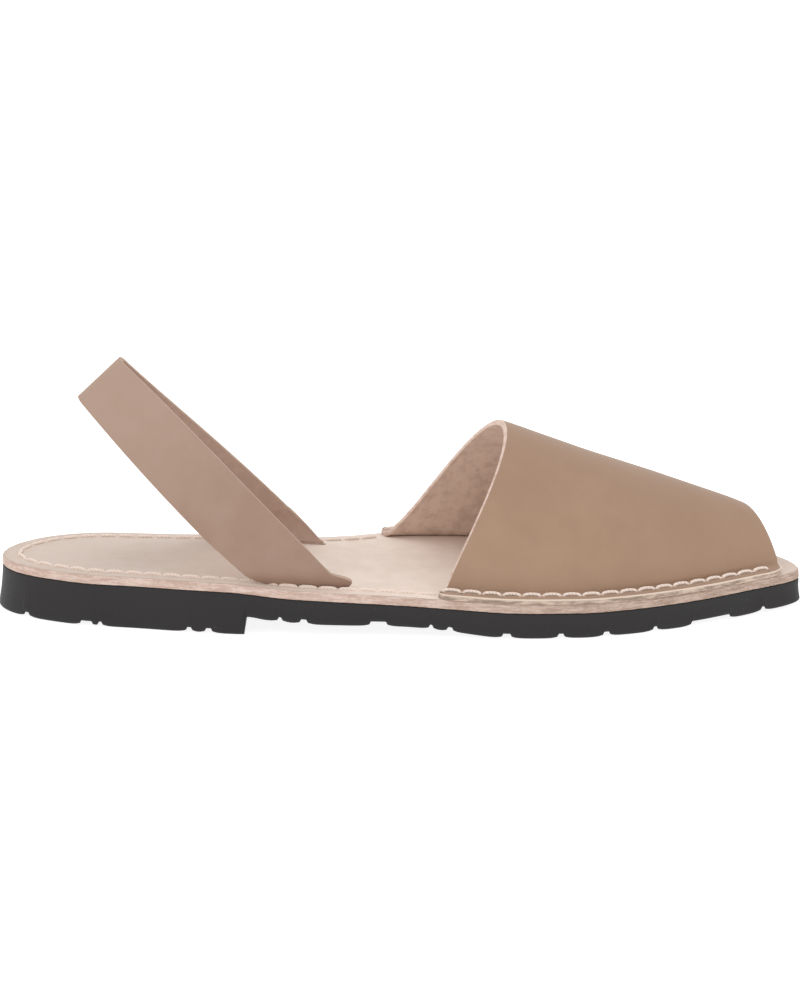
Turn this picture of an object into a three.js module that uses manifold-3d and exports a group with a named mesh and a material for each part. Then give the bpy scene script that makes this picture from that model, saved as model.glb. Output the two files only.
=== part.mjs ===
// Avarca sandal for a right foot: a moulded rubber outsole with a low heel, a leather footbed,
// a one-piece peep-toe vamp whose lower edges turn outwards over the footbed, and a heel strap
// whose two ends pass through slits in the footbed.
//
// Units are millimetres. +X runs from heel to toe, +Y towards the big-toe side, +Z up.
// The ground is z = 0 and the origin lies under the middle of the sandal.

import * as THREE from 'three';
import * as BufferGeometryUtils from 'three/addons/utils/BufferGeometryUtils.js';
import Module from 'manifold-3d';

const wasm = await Module();
wasm.setup();

// Plan of the sole
const SOLE_LENGTH = 265; // footbed, from the back of the heel to the tip
const BALL_WIDTH = 94; // footbed across the ball
const HEEL_ROUND = 34; // length of the rounded heel end
const TOE_ROUND = 34; // length of the rounded toe end
const TIP_SHIFT = 3; // how far the tip lies towards the little toe

// Outsole
const HEEL_HEIGHT = 13.9; // rubber at the back of the heel
const HEEL_LENGTH = 82; // from the back of the heel to the breast
const BREAST_STEP = 5.9; // height of the step in front of the heel
const BREAST_RAKE = 0.7; // how far the breast leans
const TOE_SPRING = 1.5; // ground to rubber at the tip
const HEEL_FLARE = 1.6; // how far the heel widens towards the ground
const SOLE_FLARE = 0.6; // the same in front of the heel
const TREAD_CHAMFER = 0.8; // chamfer of the lower rubber edge
const GROOVE_DEPTH = 1.5; // tread grooves across the sole
const GROOVE_DRAFT = 0.35; // slope of a groove wall

// Footbed
const FOOTBED_THICKNESS = 2.8;
const SEAT_GAP = 0.3; // between pieces that touch

// Vamp
const VAMP_THICKNESS = 1.7;
const FLANGE_LATERAL = 5.6; // turned-out edge, from the footbed's edge to the crease
const FLANGE_MEDIAL = 5.6; // the same on the big-toe side
const CREASE_RADIUS = 1.2; // soft bend between flange and wall
const THROAT_LATERAL = 147.4; // heel to the throat's base on the little-toe side
const THROAT_MEDIAL = 127.4; // heel to the throat's base on the big-toe side
const THROAT_HEIGHT = 47.2; // arch of the throat above the flange
const THROAT_LEAN = 29.1; // how far the top of the throat lies in front of its base
const OPENING_LATERAL = 257.8; // heel to the toe opening's base on the little-toe side
const OPENING_MEDIAL = 234.9; // heel to the toe opening's base on the big-toe side
const OPENING_HEIGHT = 17.4; // arch of the toe opening above the flange
const OPENING_LEAN = 0.8; // the same at the toe opening
const LEAN_POWER_LATERAL = 1.17; // above 1 the throat starts upright, on the little-toe side
const LEAN_POWER_MEDIAL = 0.72; // below 1 it leans forwards from its base, on the big-toe side
const LEAN_POWER_OPENING = 0.35; // the same at the toe opening, on both sides
const THROAT_ROUNDNESS = { across: 1.08, up: 1.22 }; // 1 and 1 make half an ellipse
const OPENING_ROUNDNESS = { across: 1.06, up: 1.85 }; // above 1 the sides slope more
const RIDGE_CROWN = 1.4; // how far the ridge bows upwards between the two openings
const SHOULDER_DROP = 0.3; // how far the ridge drops to the rim of the toe opening
const SHOULDER_START = 0.92; // share of the vamp's length where that drop starts
const THROAT_CORNER = 3.4; // radius of the turned-out edge's corners near the throat
const OPENING_CORNER = 6.5; // the same near the toe opening
const THROAT_REACH = 2.4; // how far that edge reaches behind the throat, little-toe side
const CORNER_FADE = 0.25; // share of the vamp's length over which a corner dies away

// Heel strap
const STRAP_THICKNESS = 1.8;
const STRAP_WIDTH = 21.1; // along the sides
const STRAP_BACK_WIDTH = 18.9; // behind the heel
const WIDTH_POWER = 4; // the higher, the nearer to the back the strap narrows
const STRAP_RISE = 46.8; // slope of the sides in degrees
const STRAP_REACH = 94.3; // from the footbed to the back of the loop, along the slope
const STRAP_CENTRE = 99; // heel to the middle of the strap's foot
const STRAP_SETBACK = 7.6; // how much further back it stands on the big-toe side
const SETBACK_POWER = 3.2; // the higher, the nearer to the loop that difference is made up
const STRAP_INSET = 7.2; // from the footbed's edge to the strap's foot
const STRAP_BOW = 3.6; // how far the sides bow outwards
const CONVERGE_POWER = 1.4; // above 1 the sides start upright and close in further up
const LOOP_DEPTH = 5.6; // the back of the loop is half an ellipse of this length
const LOOP_HALF_WIDTH = 3.4; // and this half width
const LOOP_START = 0.63; // angle of that ellipse where the straight sides run into it
const LOOP_SHIFT = -7.1; // middle of the back, towards the little toe
const LOOP_DROOP = 6.3; // how far the back hangs below the slope of the sides
const DROOP_POWER = 1.75; // the higher, the nearer to the back that drop is
const LATERAL_KICK = 1.5; // how far the strap's foot bends forwards on the little-toe side
const MEDIAL_KICK = 0.4; // the same on the big-toe side
const REAR_CUT = { length: 8, height: 3.4 }; // round lower corner of the strap's foot, behind
const FOOT_LIP = { length: 4.1, height: 4.4 }; // forward lip of the foot on the little-toe side
const LIP_POWER = 1.2; // above 1 the lip is fullest above its middle
const FOOT_KICK_HEIGHT = 18; // height above the footbed where that bend ends
const FOOT_BULGE = 1.3; // how far the leather bulges outwards above its slit
const FOOT_BULGE_HEIGHT = 12; // height where the bulge ends

// Fineness of the facets
const OUTSOLE_STATIONS = 44;
const FOOTBED_STATIONS = 56;
const VAMP_ROWS = 26; // from throat to toe opening
const VAMP_COLUMNS = 30; // over the ridge, from crease to crease
const STRAP_LEG_ROWS = 14;
const LEG_ROW_POWER = 1.4; // above 1 the rows stand closer near the foot
const STRAP_BACK_ROWS = 9; // on each half of the round back
const STRAP_COLUMNS = 4; // across the strap
const CLEAR_TURN = 0.006; // a spread station closer than this to a sharp one is left out
const SMALL_TURN = 0.004; // step that finds the direction of the edge

// Outline of the footbed: how far along the sole, and how far out on each side as a share of
// the ball width. The two ends are rounded afterwards.
const OUTLINE = [
  { along: 0.00, lateral: 0.262, medial: 0.285 },
  { along: 0.06, lateral: 0.270, medial: 0.298 },
  { along: 0.12, lateral: 0.304, medial: 0.297 },
  { along: 0.17, lateral: 0.330, medial: 0.287 },
  { along: 0.23, lateral: 0.371, medial: 0.276 },
  { along: 0.30, lateral: 0.410, medial: 0.278 },
  { along: 0.37, lateral: 0.436, medial: 0.301 },
  { along: 0.43, lateral: 0.447, medial: 0.350 },
  { along: 0.48, lateral: 0.453, medial: 0.421 },
  { along: 0.54, lateral: 0.460, medial: 0.470 },
  { along: 0.60, lateral: 0.467, medial: 0.502 },
  { along: 0.66, lateral: 0.474, medial: 0.521 },
  { along: 0.72, lateral: 0.464, medial: 0.517 },
  { along: 0.78, lateral: 0.416, medial: 0.487 },
  { along: 0.84, lateral: 0.342, medial: 0.437 },
  { along: 0.90, lateral: 0.252, medial: 0.392 },
  { along: 0.95, lateral: 0.190, medial: 0.345 },
  { along: 1.00, lateral: 0.160, medial: 0.290 },
];

// Side view of the outsole: the top as a share of the heel height, the arch under the waist as a
// share of the breast step, and the rise of the two ends as a share of the toe spring.
const PROFILE = [
  { along: 0.000, top: 1.000, arch: 0.00, spring: 0.00 },
  { along: 0.090, top: 0.991, arch: 0.00, spring: 0.00 },
  { along: 0.140, top: 0.986, arch: 0.00, spring: 0.00 },
  { along: 0.290, top: 0.971, arch: 1.00, spring: 0.00 },
  { along: 0.315, top: 0.942, arch: 0.98, spring: 0.00 },
  { along: 0.335, top: 0.907, arch: 0.83, spring: 0.00 },
  { along: 0.360, top: 0.865, arch: 0.73, spring: 0.00 },
  { along: 0.400, top: 0.830, arch: 0.63, spring: 0.00 },
  { along: 0.430, top: 0.806, arch: 0.62, spring: 0.00 },
  { along: 0.500, top: 0.748, arch: 0.59, spring: 0.00 },
  { along: 0.570, top: 0.662, arch: 0.28, spring: 0.00 },
  { along: 0.632, top: 0.593, arch: 0.00, spring: 0.00 },
  { along: 0.696, top: 0.583, arch: 0.00, spring: 0.00 },
  { along: 0.760, top: 0.576, arch: 0.00, spring: 0.00 },
  { along: 0.850, top: 0.586, arch: 0.00, spring: 0.00 },
  { along: 0.930, top: 0.612, arch: 0.00, spring: 0.32 },
  { along: 1.000, top: 0.662, arch: 0.00, spring: 1.00 },
];

// Tread grooves: middle of each as a share of the sole length, and its width in millimetres.
const GROOVES = [
  { along: 0.038, width: 2.4 },
  { along: 0.114, width: 4.4 },
  { along: 0.131, width: 1.8 },
  { along: 0.242, width: 2.2 },
  { along: 0.266, width: 2.6 },
  { along: 0.353, width: 1.7 },
  { along: 0.382, width: 2.6 },
  { along: 0.473, width: 5.8 },
  { along: 0.537, width: 1.6 },
  { along: 0.560, width: 2.2 },
  { along: 0.629, width: 3.2 },
  { along: 0.695, width: 2.4 },
  { along: 0.751, width: 2.6 },
  { along: 0.812, width: 2.0 },
  { along: 0.883, width: 14.0 },
  { along: 0.952, width: 2.0 },
];

const LATERAL = -1;
const MEDIAL = 1;

// Reads one column of a table with a smooth curve that never overshoots its rows.
function readTable(rows, column, along) {
  const share = THREE.MathUtils.clamp(along, rows[0].along, rows[rows.length - 1].along);
  let i = 0;
  while (i < rows.length - 2 && share > rows[i + 1].along) {
    i += 1;
  }
  const slopeOf = (k) => (rows[k + 1][column] - rows[k][column]) / (rows[k + 1].along - rows[k].along);
  const tangentAt = (k) => {
    if (k === 0) {
      return slopeOf(0);
    }
    if (k === rows.length - 1) {
      return slopeOf(k - 1);
    }
    const before = slopeOf(k - 1);
    const after = slopeOf(k);
    return before * after > 0 ? 2 * before * after / (before + after) : 0;
  };
  const span = rows[i + 1].along - rows[i].along;
  const t = (share - rows[i].along) / span;
  const start = rows[i][column] * (1 + 2 * t) * (1 - t) ** 2 + tangentAt(i) * span * t * (1 - t) ** 2;
  const finish = rows[i + 1][column] * t * t * (3 - 2 * t) + tangentAt(i + 1) * span * t * t * (t - 1);
  return start + finish;
}

// A quarter circle that rounds an end: 0 at the tip, 1 from the given length on.
function roundEnd(distance, length) {
  const q = THREE.MathUtils.clamp(1 - distance / length, 0, 1);
  return Math.sqrt(1 - q * q);
}

// Point of the footbed's edge. The turn goes from 0 at the heel to PI at the tip, so that
// stations crowd together where the ends are round.
function edgePoint(turn, side) {
  const x = SOLE_LENGTH * (1 - Math.cos(turn)) / 2;
  const column = side === LATERAL ? 'lateral' : 'medial';
  const reach = side * BALL_WIDTH * readTable(OUTLINE, column, x / SOLE_LENGTH);
  const toe = roundEnd(SOLE_LENGTH - x, TOE_ROUND);
  const y = reach * roundEnd(x, HEEL_ROUND) * toe - TIP_SHIFT * (1 - toe);
  return new THREE.Vector2(x, y);
}

// Unit vector that points out of the sole at an edge point.
function edgeNormal(turn, side) {
  const before = edgePoint(Math.max(turn - SMALL_TURN, 0), side);
  const after = edgePoint(Math.min(turn + SMALL_TURN, Math.PI), side);
  const along = after.sub(before).normalize();
  return new THREE.Vector2(-side * along.y, side * along.x);
}

// Point that lies inside the edge by the given inset, measured square to the edge.
function insetPoint(turn, side, inset) {
  return edgePoint(turn, side).addScaledVector(edgeNormal(turn, side), -inset);
}

// Turn at which the curve at this inset reaches a given x.
function turnAt(x, side, inset) {
  let low = 0.02;
  let high = Math.PI - 0.02;
  for (let i = 0; i < 40; i += 1) {
    const middle = (low + high) / 2;
    if (insetPoint(middle, side, inset).x < x) {
      low = middle;
    } else {
      high = middle;
    }
  }
  return (low + high) / 2;
}

function rubberTop(x) {
  return HEEL_HEIGHT * readTable(PROFILE, 'top', x / SOLE_LENGTH);
}

function footbedTop(x) {
  return rubberTop(x) + SEAT_GAP + FOOTBED_THICKNESS;
}

// Underside of the rubber before its grooves are cut: flat under heel and ball, arched between.
function underside(x) {
  const breast = THREE.MathUtils.clamp((x - HEEL_LENGTH) / BREAST_RAKE, 0, 1);
  const arch = BREAST_STEP * breast * readTable(PROFILE, 'arch', x / SOLE_LENGTH);
  return arch + TOE_SPRING * readTable(PROFILE, 'spring', x / SOLE_LENGTH);
}

// Depth of the tread at x: grooves have sloping walls and a flat floor.
function grooveDepth(x) {
  let depth = 0;
  for (const groove of GROOVES) {
    const inside = groove.width / 2 - Math.abs(x - groove.along * SOLE_LENGTH);
    const share = THREE.MathUtils.clamp(inside / GROOVE_DRAFT, 0, 1);
    depth = Math.max(depth, share * GROOVE_DEPTH);
  }
  return depth;
}

// Merges a triangle soup, drops empty triangles and makes the faces point out.
function closedGeometry(points, triangles) {
  const soup = new THREE.BufferGeometry();
  soup.setAttribute('position', new THREE.Float32BufferAttribute(points.flatMap((p) => p.toArray()), 3));
  soup.setIndex(triangles.flat());
  const merged = BufferGeometryUtils.mergeVertices(soup, 1e-4);
  const source = merged.getIndex().array;
  const kept = [];
  for (let i = 0; i < source.length; i += 3) {
    const [a, b, c] = [source[i], source[i + 1], source[i + 2]];
    if (a !== b && b !== c && c !== a) {
      kept.push([a, b, c]);
    }
  }
  const at = (k) => new THREE.Vector3().fromBufferAttribute(merged.getAttribute('position'), k);
  const volume = kept.reduce((sum, [a, b, c]) => sum + at(a).dot(at(b).cross(at(c))), 0);
  const faces = volume < 0 ? kept.map(([a, b, c]) => [a, c, b]) : kept;
  merged.setIndex(faces.flat());
  return merged;
}

// Points of equally long rings, and the walls between each ring and the next.
function ringWalls(rings) {
  const count = rings[0].length;
  const triangles = [];
  for (let i = 0; i < rings.length - 1; i += 1) {
    for (let j = 0; j < count; j += 1) {
      const next = (j + 1) % count;
      const a = i * count + j;
      const b = i * count + next;
      triangles.push([a, b, b + count], [a, b + count, a + count]);
    }
  }
  return { points: rings.flat(), triangles };
}

// Closed solid through rings of equally many points; both end rings are filled.
function loft(rings) {
  const { points, triangles } = ringWalls(rings);
  const count = rings[0].length;
  const last = (rings.length - 1) * count;
  for (let j = 1; j < count - 1; j += 1) {
    triangles.push([0, j + 1, j], [last, last + j, last + j + 1]);
  }
  return closedGeometry(points, triangles);
}

// Unit vector that stands on a grid of points at row i, column j.
function gridNormal(grid, i, j) {
  const rows = grid.length - 1;
  const columns = grid[0].length - 1;
  const down = grid[Math.min(i + 1, rows)][j].clone().sub(grid[Math.max(i - 1, 0)][j]);
  const across = grid[i][Math.min(j + 1, columns)].clone().sub(grid[i][Math.max(j - 1, 0)]);
  return across.cross(down).normalize();
}

// The same grid, moved by a distance square to itself.
function movedGrid(grid, distance) {
  return grid.map((row, i) => row.map((point, j) => (
    point.clone().addScaledVector(gridNormal(grid, i, j), distance)
  )));
}

// Leather of an even thickness: one face is the grid, the other lies at the given distance from
// it, and narrow edges close the gap all round.
function leather(grid, distance) {
  const inner = movedGrid(grid, distance);
  const rings = grid.map((row, i) => [...row, ...inner[i].reverse()]);
  const { points, triangles } = ringWalls(rings);
  const count = grid[0].length;
  const width = 2 * count;
  const closeEnd = (start, flip) => {
    for (let j = 0; j < count - 1; j += 1) {
      const outer = start + j;
      const back = start + width - 1 - j;
      for (const [a, b, c] of [[outer, back, back - 1], [outer, back - 1, outer + 1]]) {
        triangles.push(flip ? [a, c, b] : [a, b, c]);
      }
    }
  };
  closeEnd(0, false);
  closeEnd((rings.length - 1) * width, true);
  return closedGeometry(points, triangles);
}

function toManifold(geometry) {
  const bare = geometry.clone();
  bare.deleteAttribute('normal');
  bare.deleteAttribute('uv');
  const merged = BufferGeometryUtils.mergeVertices(bare, 1e-4);
  return new wasm.Manifold(new wasm.Mesh({
    numProp: 3,
    vertProperties: new Float32Array(merged.getAttribute('position').array),
    triVerts: new Uint32Array(merged.getIndex().array),
  }));
}

function fromManifold(solid) {
  const mesh = solid.getMesh();
  const geometry = new THREE.BufferGeometry();
  geometry.setAttribute('position', new THREE.Float32BufferAttribute(mesh.vertProperties, 3));
  geometry.setIndex(Array.from(mesh.triVerts));
  return geometry;
}

function makeMesh(name, geometry, color, roughness) {
  geometry.computeVertexNormals();
  const mesh = new THREE.Mesh(geometry, new THREE.MeshStandardMaterial({ color, roughness, metalness: 0 }));
  mesh.name = name;
  return mesh;
}

// Stations of the sole: evenly spread turns, and the turns at every edge of groove and breast.
function soleStations(count, edges) {
  const turns = [];
  for (let i = 0; i <= count; i += 1) {
    turns.push(Math.PI * i / count);
  }
  const turnOf = (x) => Math.acos(1 - 2 * x / SOLE_LENGTH);
  const sharp = edges.map(turnOf);
  const spread = turns.filter((turn) => sharp.every((other) => Math.abs(other - turn) > CLEAR_TURN));
  return [...spread, ...sharp].sort((a, b) => a - b);
}

function makeOutsole() {
  const edges = [HEEL_LENGTH, HEEL_LENGTH + BREAST_RAKE];
  for (const groove of GROOVES) {
    const middle = groove.along * SOLE_LENGTH;
    for (const offset of [groove.width / 2, groove.width / 2 - GROOVE_DRAFT]) {
      edges.push(middle - offset, middle + offset);
    }
  }
  const rings = soleStations(OUTSOLE_STATIONS, edges).map((turn) => {
    const x = edgePoint(turn, LATERAL).x;
    const low = underside(x) + grooveDepth(x);
    const high = rubberTop(x);
    const flare = x <= HEEL_LENGTH ? HEEL_FLARE : SOLE_FLARE;
    const half = (side) => {
      const tread = insetPoint(turn, side, TREAD_CHAMFER - flare);
      const wall = insetPoint(turn, side, -flare);
      const rim = insetPoint(turn, side, 0);
      return [
        new THREE.Vector3(tread.x, tread.y, low),
        new THREE.Vector3(wall.x, wall.y, low + TREAD_CHAMFER),
        new THREE.Vector3(rim.x, rim.y, high),
      ];
    };
    return [...half(LATERAL), ...half(MEDIAL).reverse()];
  });
  return makeMesh('outsole', loft(rings), 0x3a383a, 0.75);
}

// Foot of the strap on one side, where it meets the footbed: the ends of its slit, its middle
// and how far it bends forwards.
function strapFoot(side) {
  const kick = side === MEDIAL ? MEDIAL_KICK : LATERAL_KICK;
  const middle = STRAP_CENTRE - (side === MEDIAL ? STRAP_SETBACK : 0) + kick;
  const half = STRAP_WIDTH / 2 / Math.sin(THREE.MathUtils.degToRad(STRAP_RISE));
  const y = insetPoint(turnAt(middle, side, STRAP_INSET), side, STRAP_INSET).y;
  return {
    rear: middle - half + REAR_CUT.length,
    front: middle + half,
    middle,
    y,
    kick,
  };
}

function makeFootbed() {
  const rings = soleStations(FOOTBED_STATIONS, []).map((turn) => {
    const x = edgePoint(turn, LATERAL).x;
    const low = rubberTop(x) + SEAT_GAP;
    const high = footbedTop(x);
    const half = (side) => {
      const rim = insetPoint(turn, side, 0);
      return [new THREE.Vector3(rim.x, rim.y, low), new THREE.Vector3(rim.x, rim.y, high)];
    };
    return [...half(LATERAL), ...half(MEDIAL).reverse()];
  });
  let footbed = toManifold(loft(rings));
  for (const side of [LATERAL, MEDIAL]) {
    const foot = strapFoot(side);
    const length = foot.front - foot.rear + 5 * SEAT_GAP;
    const slit = new THREE.BoxGeometry(length, STRAP_THICKNESS + 2 * SEAT_GAP, 4 * HEEL_HEIGHT);
    slit.translate((foot.front + foot.rear) / 2, foot.y, HEEL_HEIGHT);
    footbed = footbed.subtract(toManifold(slit));
  }
  return makeMesh('footbed', fromManifold(footbed), 0xdac8b8, 0.7);
}

// Width of the vamp's turned-out edge on one side.
function flangeWidth(side) {
  return side === LATERAL ? FLANGE_LATERAL : FLANGE_MEDIAL;
}

// Where a row of the vamp stands along the sole on each side, from throat to toe opening.
function vampFeet(length) {
  return {
    lateralX: THREE.MathUtils.lerp(THROAT_LATERAL, OPENING_LATERAL, length),
    medialX: THREE.MathUtils.lerp(THROAT_MEDIAL, OPENING_MEDIAL, length),
  };
}

// Point of the crease between wall and turned-out edge.
function creasePoint(x, side) {
  const width = flangeWidth(side);
  return insetPoint(turnAt(x, side, width), side, width);
}

// Wall of the vamp. The length share runs from throat to toe opening, the turn across from PI
// at the little-toe crease over the ridge to 0 at the big-toe crease.
function vampPoint(length, across) {
  const { lateralX, medialX } = vampFeet(length);
  const lateral = creasePoint(lateralX, LATERAL);
  const medial = creasePoint(medialX, MEDIAL);
  const roundness = (way) => (
    THREE.MathUtils.lerp(THROAT_ROUNDNESS[way], OPENING_ROUNDNESS[way], length)
  );
  const sideways = Math.cos(across);
  const share = (1 + Math.sign(sideways) * Math.abs(sideways) ** roundness('across')) / 2;
  const rise = Math.sin(across) ** roundness('up');
  const straight = THREE.MathUtils.lerp(THROAT_HEIGHT, OPENING_HEIGHT + SHOULDER_DROP, length);
  const crown = 4 * RIDGE_CROWN * length * (1 - length);
  const shoulder = THREE.MathUtils.clamp((length - SHOULDER_START) / (1 - SHOULDER_START), 0, 1);
  const height = straight + crown - SHOULDER_DROP * shoulder * shoulder;
  const lean = THREE.MathUtils.lerp(THROAT_LEAN, OPENING_LEAN, length);
  const throatPower = share < 0.5 ? LEAN_POWER_LATERAL : LEAN_POWER_MEDIAL;
  const leanPower = THREE.MathUtils.lerp(throatPower, LEAN_POWER_OPENING, length);
  const seat = THREE.MathUtils.lerp(footbedTop(lateralX), footbedTop(medialX), share);
  return new THREE.Vector3(
    THREE.MathUtils.lerp(lateral.x, medial.x, share) + lean * rise ** leanPower,
    THREE.MathUtils.lerp(lateral.y, medial.y, share),
    seat + SEAT_GAP + VAMP_THICKNESS + height * rise,
  );
}

// How far the ends of the turned-out edge stand forwards of their row: round corners draw it in,
// and on the little-toe side it reaches back behind the throat.
function cornerPull(length, side, inset) {
  const quarter = (radius) => {
    const outside = THREE.MathUtils.clamp(1 - inset / radius, 0, 1);
    return radius * (1 - Math.sqrt(1 - outside * outside));
  };
  const fromCrease = THREE.MathUtils.clamp(2 - 2 * inset / flangeWidth(side), 0, 1);
  const back = side === LATERAL ? THROAT_REACH * fromCrease : 0;
  const atThroat = Math.max(0, 1 - length / CORNER_FADE) ** 2;
  const atOpening = Math.max(0, 1 - (1 - length) / CORNER_FADE) ** 2;
  return (quarter(THROAT_CORNER) - back) * atThroat - quarter(OPENING_CORNER) * atOpening;
}

// Points of the turned-out edge, from the footbed's edge to just before the crease.
function flangePoints(length, x, side) {
  const width = flangeWidth(side);
  return [0, 1.2, width / 2, width - CREASE_RADIUS].map((inset) => {
    const turn = turnAt(x + cornerPull(length, side, inset), side, width);
    const place = insetPoint(turn, side, inset);
    return new THREE.Vector3(place.x, place.y, footbedTop(place.x) + SEAT_GAP + VAMP_THICKNESS);
  });
}

function makeVamp() {
  const grid = [];
  for (let i = 0; i <= VAMP_ROWS; i += 1) {
    const length = i / VAMP_ROWS;
    const { lateralX, medialX } = vampFeet(length);
    const height = THREE.MathUtils.lerp(THROAT_HEIGHT, OPENING_HEIGHT, length);
    const power = THREE.MathUtils.lerp(THROAT_ROUNDNESS.up, OPENING_ROUNDNESS.up, length);
    const first = Math.asin((CREASE_RADIUS / height) ** (1 / power));
    const wall = [];
    for (let j = 0; j <= VAMP_COLUMNS; j += 1) {
      wall.push(vampPoint(length, THREE.MathUtils.lerp(Math.PI - first, first, j / VAMP_COLUMNS)));
    }
    const lateral = flangePoints(length, lateralX, LATERAL);
    const medial = flangePoints(length, medialX, MEDIAL).reverse();
    grid.push([...lateral, ...wall, ...medial]);
  }
  return makeMesh('vamp', leather(grid, VAMP_THICKNESS), 0xa88a72, 0.6);
}

// Station of the strap: a point on its rear edge and one on its front edge. The slope share runs
// from 0 at the footbed to 1 where the round back begins, and from there the turn goes from 0 to
// PI / 2 at the middle of the back.
function strapStation(side, slopeShare, turn) {
  const rise = THREE.MathUtils.degToRad(STRAP_RISE);
  const foot = strapFoot(side);
  const straight = STRAP_REACH - LOOP_DEPTH * (1 - Math.sin(LOOP_START));
  const bend = THREE.MathUtils.lerp(LOOP_START, Math.PI / 2, turn / (Math.PI / 2));
  const skew = STRAP_WIDTH / 2 / Math.tan(rise);
  const across = side * Math.cos(turn);
  const medialShare = (1 + across) / 2;
  const seats = [LATERAL, MEDIAL].map((which) => footbedTop(strapFoot(which).middle));
  const seat = THREE.MathUtils.lerp(seats[0], seats[1], medialShare);
  const edge = (sign) => {
    const start = -sign * skew;
    const round = LOOP_DEPTH * (Math.sin(bend) - Math.sin(LOOP_START));
    const slope = start + slopeShare * (straight - start) + round;
    const share = THREE.MathUtils.clamp(slope / STRAP_REACH, 0, 1);
    const legShare = THREE.MathUtils.clamp((slope - start) / (straight - start), 0, 1);
    const width = THREE.MathUtils.lerp(STRAP_WIDTH, STRAP_BACK_WIDTH, share ** WIDTH_POWER);
    const height = slope * Math.sin(rise) + sign * width / 2 * Math.cos(rise);
    const low = THREE.MathUtils.clamp(1 - height / REAR_CUT.height, 0, 1);
    const cut = REAR_CUT.length * (1 - Math.sqrt(1 - low * low));
    const lipShare = THREE.MathUtils.clamp(height / FOOT_LIP.height, 0, 1) ** LIP_POWER;
    const lip = side === LATERAL ? FOOT_LIP.length * Math.sin(Math.PI * lipShare) : 0;
    const corner = sign < 0 ? cut : lip;
    const near = Math.max(0, 1 - height / FOOT_KICK_HEIGHT) ** 2;
    const bulgeShare = THREE.MathUtils.clamp(height / FOOT_BULGE_HEIGHT, 0, 1);
    const bulge = side * FOOT_BULGE * Math.sin(Math.PI * bulgeShare);
    const setback = STRAP_SETBACK * (1 - share ** SETBACK_POWER) * medialShare;
    const loopY = LOOP_SHIFT + side * LOOP_HALF_WIDTH * Math.cos(bend);
    const legY = THREE.MathUtils.lerp(foot.y, loopY, legShare ** CONVERGE_POWER);
    const bow = side * STRAP_BOW * Math.sin(Math.PI * legShare);
    const line = STRAP_CENTRE - slope * Math.cos(rise) + sign * width / 2 * Math.sin(rise);
    const x = line + foot.kick * near - setback + corner;
    const ground = THREE.MathUtils.lerp(seat, footbedTop(x), near);
    const y = turn > 0 ? loopY : legY + bow + bulge;
    return new THREE.Vector3(x, y, ground + height - LOOP_DROOP * share ** DROOP_POWER);
  };
  return [edge(-1), edge(1)];
}

function makeHeelStrap() {
  const leg = (side) => {
    const stations = [];
    const foot = strapFoot(side);
    const tab = FOOTBED_THICKNESS - SEAT_GAP;
    const at = (x, depth) => new THREE.Vector3(x, foot.y, footbedTop(x) - depth);
    stations.push([at(foot.rear, tab), at(foot.front, tab)]);
    stations.push([at(foot.rear, 0), at(foot.front, 0)]);
    for (let i = 1; i <= STRAP_LEG_ROWS; i += 1) {
      stations.push(strapStation(side, (i / STRAP_LEG_ROWS) ** LEG_ROW_POWER, 0));
    }
    for (let i = 1; i <= STRAP_BACK_ROWS; i += 1) {
      stations.push(strapStation(side, 1, Math.PI / 2 * i / STRAP_BACK_ROWS));
    }
    return stations;
  };
  const lateral = leg(LATERAL);
  const medial = leg(MEDIAL).reverse();
  const stations = [...lateral, ...medial.slice(1)];
  const middleGrid = stations.map(([rear, front]) => {
    const row = [];
    for (let j = 0; j <= STRAP_COLUMNS; j += 1) {
      row.push(rear.clone().lerp(front, j / STRAP_COLUMNS));
    }
    return row;
  });
  const face = movedGrid(middleGrid, STRAP_THICKNESS / 2);
  return makeMesh('heel_strap', leather(face, -STRAP_THICKNESS), 0xb29887, 0.6);
}

const sandal = new THREE.Group();
sandal.add(makeOutsole(), makeFootbed(), makeVamp(), makeHeelStrap());
const box = new THREE.Box3().setFromObject(sandal);
const middle = box.getCenter(new THREE.Vector3());
sandal.position.set(-middle.x, -middle.y, -box.min.z);

export default sandal;
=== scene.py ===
# %% [markdown]
# # A leather avarca, piece by piece
# An avarca is a flat summer sandal of four pieces: a moulded rubber outsole, a leather footbed, a
# vamp whose lower edges are turned outwards and sewn down, and a strap behind the heel.
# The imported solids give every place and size. Here each piece is made again as a fine surface, and
# the things that a solid leaves out are added: thread, needle holes, cut edges and grain.

import bmesh
import bpy
import numpy as np
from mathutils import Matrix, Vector


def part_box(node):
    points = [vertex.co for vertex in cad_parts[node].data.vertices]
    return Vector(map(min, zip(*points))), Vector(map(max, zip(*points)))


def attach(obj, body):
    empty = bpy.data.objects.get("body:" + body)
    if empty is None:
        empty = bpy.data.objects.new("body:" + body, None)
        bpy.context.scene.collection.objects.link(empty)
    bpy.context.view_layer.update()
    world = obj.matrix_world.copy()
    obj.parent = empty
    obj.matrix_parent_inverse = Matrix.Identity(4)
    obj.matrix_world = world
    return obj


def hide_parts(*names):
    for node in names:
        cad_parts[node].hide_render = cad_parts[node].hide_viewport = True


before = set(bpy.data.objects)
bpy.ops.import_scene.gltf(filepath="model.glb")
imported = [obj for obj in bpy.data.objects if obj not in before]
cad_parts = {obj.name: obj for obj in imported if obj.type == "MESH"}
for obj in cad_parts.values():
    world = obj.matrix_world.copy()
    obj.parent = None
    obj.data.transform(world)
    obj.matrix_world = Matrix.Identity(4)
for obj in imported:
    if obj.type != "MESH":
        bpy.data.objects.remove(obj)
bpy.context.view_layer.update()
print("CAD pieces:", sorted(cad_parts))

# %% [markdown]
# ## Sizes
# A shoemaker works from a few sizes and an outline, and so does this file. The sizes are in
# millimetres, X runs from heel to toe, and Y points to the big-toe side.

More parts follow.
